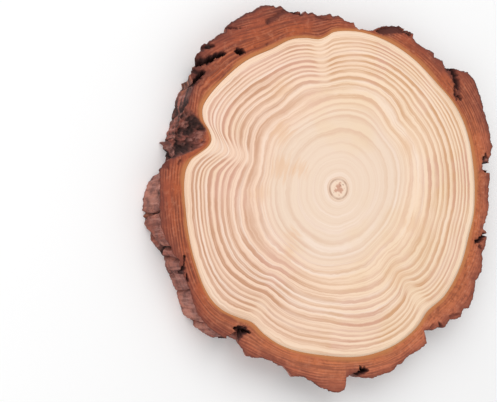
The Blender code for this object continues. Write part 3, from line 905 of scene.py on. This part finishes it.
def with_pith(made, place, sides, ring, shade):
    """The pith laid over the wood: a pale disc in a brown skin, with a blurred star and specks in it."""
    pith = made.ramp(ring, 0.84, 0.66)
    shade = made.mix(pith, shade, PITH)
    around = made.math("ARCTAN2", sides[1], sides[0])
    arms = made.math("COSINE", made.math("MULTIPLY_ADD", around, STAR_ARMS, STAR_TURN))
    away = made.minus(made.from_point(place, 0, 0), made.ramp(arms, -1.0, 1.0, 1.3 * MM, 2.2 * MM))
    away = made.plus(away, made.swing(made.noise(place, 520, 3), 9 * MM))
    shade = made.mix(made.times(made.ramp(away, 1.4 * MM, -0.8 * MM), pith), shade, PITH_STAR)
    specks = made.ramp(made.noise(place, 700, 2), 0.62, 0.72)
    shade = made.mix(made.times(pith, specks), shade, PITH_SPECK)
    skin = made.times(made.ramp(ring, 0.76, 0.88), made.ramp(ring, 1.05, 0.96))
    skin = made.times(skin, made.ramp(made.noise(place, 150, 2), 0.35, 0.6, 0.35, 1.0))
    return made.mix(skin, shade, PITH_SKIN)


def with_stain(made, place, stripes, shade, angle, radius, half, share):
    """A faint stain laid over the upper face, its edge drawn out along the rings."""
    x, y = flat_place(angle, radius) * MM
    half *= MM
    away = made.plus(made.from_point(place, x, y), made.swing(stripes(3.5, 60, 0.3, 0.7), half * 0.9))
    return made.tint(shade, STAIN, away, half, half * 0.1, share)


def wood_finish():
    """Pale sawn softwood: cream earlywood, tan latewood lines, and a reddish pith."""
    made = Nodes("sawn wood", roughness=0.55)
    place = made.place()
    sides = made.sides(place)
    leftward = made.ramp(sides[0], 0.03, -0.06)
    ring = made.held("growth")
    slow, quick = made.swing(made.noise(place, 60, 2), 0.35), made.swing(made.noise(place, 260, 3), 0.22)
    growth = made.plus(ring, made.plus(slow, quick))

    def stripes(per_ring, along, low, high):
        """Fine lines along the rings."""
        spot = made.stretched((growth, sides[0], sides[1]), (per_ring, along, along))
        return made.ramp(made.noise(spot, 1.0, 2, 0.6), low, high)

    late = latewood(made, place, growth, leftward, stripes)
    tan = made.mix(leftward, TAN, ROSY_TAN)
    tan = made.tint(tan, PINK_TAN, made.noise(place, 40, 2), 0.45, 0.65, 0.7)
    shade = made.mix(late, earlywood(made, place, growth, leftward, stripes), tan)
    shade = with_pith(made, place, sides, ring, shade)
    for stain in STAINS:
        shade = with_stain(made, place, stripes, shade, *stain)
    grain = made.plus(made.noise(place, 1800, 2), made.times(late, 0.4))
    return made.finish(shade, made.bump(grain, 0.00015, 0.5))


def sawn_bark(made, place, sides, layer, wide, narrow):
    """Bark where it is sawn: golden by the wood, then red-brown in layers, and dark at its rim, with painted
    shade along the top edge.
    """
    share = made.held("share")
    patches = made.noise(place, 48, 3)
    # The layers show most at the left and the top
    striped = made.ramp(sides[0], 0.02, 0.065, 1.0, 0.5)
    striped = made.larger(striped, made.ramp(sides[1], 0.0, 0.05, 0.5, 0.85))
    phase = made.plus(made.times(layer, 4.2), made.times(wide, 7.0))
    ripple = made.times(made.math("SINE", phase), made.ramp(made.noise(place, 80, 2), 0.35, 0.6, 0.25, 1.0))
    ripple = made.times(ripple, striped)
    lower_right = made.ramp(made.minus(sides[0], sides[1]), -0.04, 0.1)
    inner = made.mix(lower_right, INNER_BARK, INNER_BARK_LOWER_RIGHT)
    outer = made.mix(lower_right, OUTER_BARK, OUTER_BARK_LOWER_RIGHT)
    sawn = made.mix(made.ramp(share, 0.25, 0.75), inner, outer)
    sawn = made.tint(sawn, DARK_PATCH, patches, 0.4, 0.7, 0.45)
    sawn = made.tint(sawn, DARK_LAYER, wide, 0.5, 0.66, made.times(striped, 0.5))
    sawn = made.tint(sawn, RIPPLE_DARK, ripple, 0.1, 0.9, 0.55)
    sawn = made.tint(sawn, RIPPLE_LIGHT, ripple, -0.2, -0.9, 0.35)
    sawn = made.tint(sawn, FINE_DARK_LAYER, narrow, 0.52, 0.64, made.times(striped, 0.6))
    lower = made.times(made.ramp(sides[1], -0.045, -0.08), made.ramp(share, 0.8, 0.55))
    sawn = made.mix(made.times(lower, 0.15), sawn, LOWER_BARK)
    crumbs = made.noise(place, 420, 3, 0.6)
    crumbly = made.ramp(striped, 1.0, 0.5, 0.22, 0.42)
    sawn = made.tint(sawn, LIGHT_CRUMB, crumbs, 0.52, 0.68, crumbly)
    sawn = made.tint(sawn, DARK_CRUMB, crumbs, 0.48, 0.34, crumbly)
    golden = made.ramp(made.noise(place, 40, 2), 0.4, 0.66, 1.7, 4.2)
    sawn = made.mix(made.ramp(made.held("out"), 0.3, golden), GOLDEN_BARK, sawn)
    sawn = made.tint(sawn, BARK_RIM, made.plus(share, made.swing(patches, 0.5)), 0.6, 1.0, 0.6)
    # Dark rim at the outer edge: the bark's own crust, with painted shade stronger towards the top edge
    crust_and_shade = made.times(made.ramp(share, 0.93, 1.0), made.ramp(sides[1], 0.0, 0.06, 0.35, 0.85))
    return made.mix(crust_and_shade, sawn, BARK_CRUST_AND_SHADE)


def weathered_bark(made, place, sides):
    """Bark on the wall and in the bay: plates of a few tones, scaly and fibrous, painted shade in the
    fissures, painted highlights.
    """
    tone, light = made.held("tone"), made.held("light")
    flaky = made.ramp(made.noise(place, 150, 5, 0.65), 0.4, 0.62)
    old = made.tint(OLD_PLATES[0], OLD_PLATES[1], tone, -0.3, -0.2)
    old = made.tint(old, OLD_PLATES[2], tone, 0.3, 0.4)
    old = made.tint(old, OLD_RED_PLATE, tone, 0.74, 0.8)
    old = made.tint(old, GREY_PATCH, made.noise(place, 55, 3), 0.55, 0.7, 0.3)
    old = made.mix(flaky, old, made.mix(0.75, old, OLD_SCALE))
    fresh = made.tint(FRESH_PLATES[0], FRESH_PLATES[1], tone, 0.2, 0.3)
    fresh = made.tint(fresh, FRESH_RED_PLATE, tone, 0.74, 0.8)
    fresh = made.mix(flaky, fresh, made.mix(0.7, fresh, FRESH_SCALE))
    age = made.plus(made.noise(place, 34, 3), made.times(sides[1], -2.2))
    skin = made.mix(made.ramp(age, 0.4, 0.62), fresh, old)
    skin = made.tint(skin, ORANGE_PATCH, made.noise(place, 30, 2), 0.59, 0.65, 0.6)
    fibres = made.noise(made.stretched(sides, (520, 520, 45)), 1.0, 3, 0.6)
    skin = made.tint(skin, LIGHT_FIBRE, fibres, 0.5, 0.66, 0.5)
    skin = made.tint(skin, DARK_FIBRE, fibres, 0.47, 0.34, 0.5)
    # Painted shade where the painted light is low, and a painted highlight where it is high
    skin = made.tint(skin, PAINTED_SHADE, light, 0.5, 0.05)
    return made.tint(skin, PAINTED_HIGHLIGHT, light, 0.8, 1.2, 0.75)


def bark_finish():
    """Bark: layered where it is sawn, weathered and flaky outside, with painted shade and stain where it is
    sunk.
    """
    made = Nodes("bark", roughness=0.85)
    place = made.place()
    sides = made.sides(place)
    wall, sunk = made.held("wall"), made.held("sunk")
    layer = made.plus(made.held("layer"), made.swing(made.noise(place, 60, 2), 1.0))

    def layers(along, across):
        """Noise drawn out along the bark's layers."""
        spot = made.stretched((sides[0], sides[1], layer), (along, along, across))
        return made.noise(spot, 1.0, 2, 0.55)

    wide, narrow = layers(26, 0.6), layers(60, 1.6)
    sawn = sawn_bark(made, place, sides, layer, wide, narrow)
    skin = made.mix(wall, sawn, weathered_bark(made, place, sides))
    # Painted shade in the crevices and under cuts, with the stain of the shallow crevices
    skin = made.tint(skin, CREVICE_EDGE_SHADE_AND_STAIN, sunk, 0.1, 1.2, 0.8)
    skin = made.tint(skin, CREVICE_SHADE_AND_STAIN, sunk, 0.9, 3.2)
    rough = made.plus(made.noise(place, 420, 5, 0.65), made.times(wide, 1.2))
    strength = made.add("ShaderNodeMix", {0: wall, 2: 0.35, 3: 0.8})
    return made.finish(skin, made.bump(rough, 0.0009, strength))


def floor_finish():
    made = Nodes("pale floor", roughness=0.9)
    cloud = made.ramp(made.noise(made.place(), 3, 2), 0.3, 0.7)
    return made.finish(made.mix(cloud, FLOOR_PALE, FLOOR_CLOUD))


def floor():
    made = bmesh.new()
    bmesh.ops.create_grid(made, x_segments=FLOOR_CELLS, y_segments=FLOOR_CELLS, size=FLOOR_REACH)
    mesh = bpy.data.meshes.new("floor")
    made.to_mesh(mesh)
    made.free()
    mesh.materials.append(floor_finish())
    piece = bpy.data.objects.new("floor", mesh)
    bpy.context.collection.objects.link(piece)


def camera():
    """The camera, with the pith at its pixel and the picture's up along +Y."""
    turn, drop = math.radians(VIEW_TURN), math.radians(VIEW_DROP)
    towards = Vector((-math.sin(turn) * math.cos(drop), -math.sin(drop), math.cos(turn) * math.cos(drop)))
    pith_ray = Vector((PITH_PIXEL[0] - PHOTO_WIDTH / 2, PHOTO_HEIGHT / 2 - PITH_PIXEL[1], -FOCAL_PIXELS))
    distance = pith_ray.length * MM_PER_PIXEL * MM
    # The camera's back turns step by step until the pith's ray runs along the line of sight
    back = towards.copy()
    for _ in range(AIM_STEPS):
        right = Vector((0, 1, 0)).cross(back).normalized()
        axes = Matrix((right, back.cross(right), back)).transposed()
        back = (back + towards + axes @ pith_ray.normalized()).normalized()
    data = bpy.data.cameras.new("camera")
    data.sensor_width = SENSOR
    data.lens = FOCAL_PIXELS / PHOTO_WIDTH * SENSOR
    seen = bpy.data.objects.new("camera", data)
    bpy.context.collection.objects.link(seen)
    eye = Vector((0, 0, THICKNESS * MM)) + towards * distance
    seen.matrix_world = Matrix.Translation(eye) @ axes.to_4x4()
    bpy.context.scene.camera = seen


def lighting():
    """Two soft lamps that face the slice, in a white studio."""
    for name, place, size, watts in LAMPS:
        data = bpy.data.lights.new(name, "AREA")
        data.shape = "DISK"
        data.size = size
        data.energy = watts
        lamp = bpy.data.objects.new(name, data)
        bpy.context.collection.objects.link(lamp)
        lamp.location = place
        lamp.rotation_euler = (-Vector(place)).to_track_quat("-Z", "Y").to_euler()
    world = bpy.data.worlds.new("studio")
    world.use_nodes = True
    background = world.node_tree.nodes["Background"]
    background.inputs["Color"].default_value = (1, 1, 1, 1)
    background.inputs["Strength"].default_value = STUDIO_LIGHT
    bpy.context.scene.world = world
    bpy.context.scene.view_settings.view_transform = "Standard"


camera()
lighting()
floor()
wood().data.materials.append(wood_finish())
bark().data.materials.append(bark_finish())
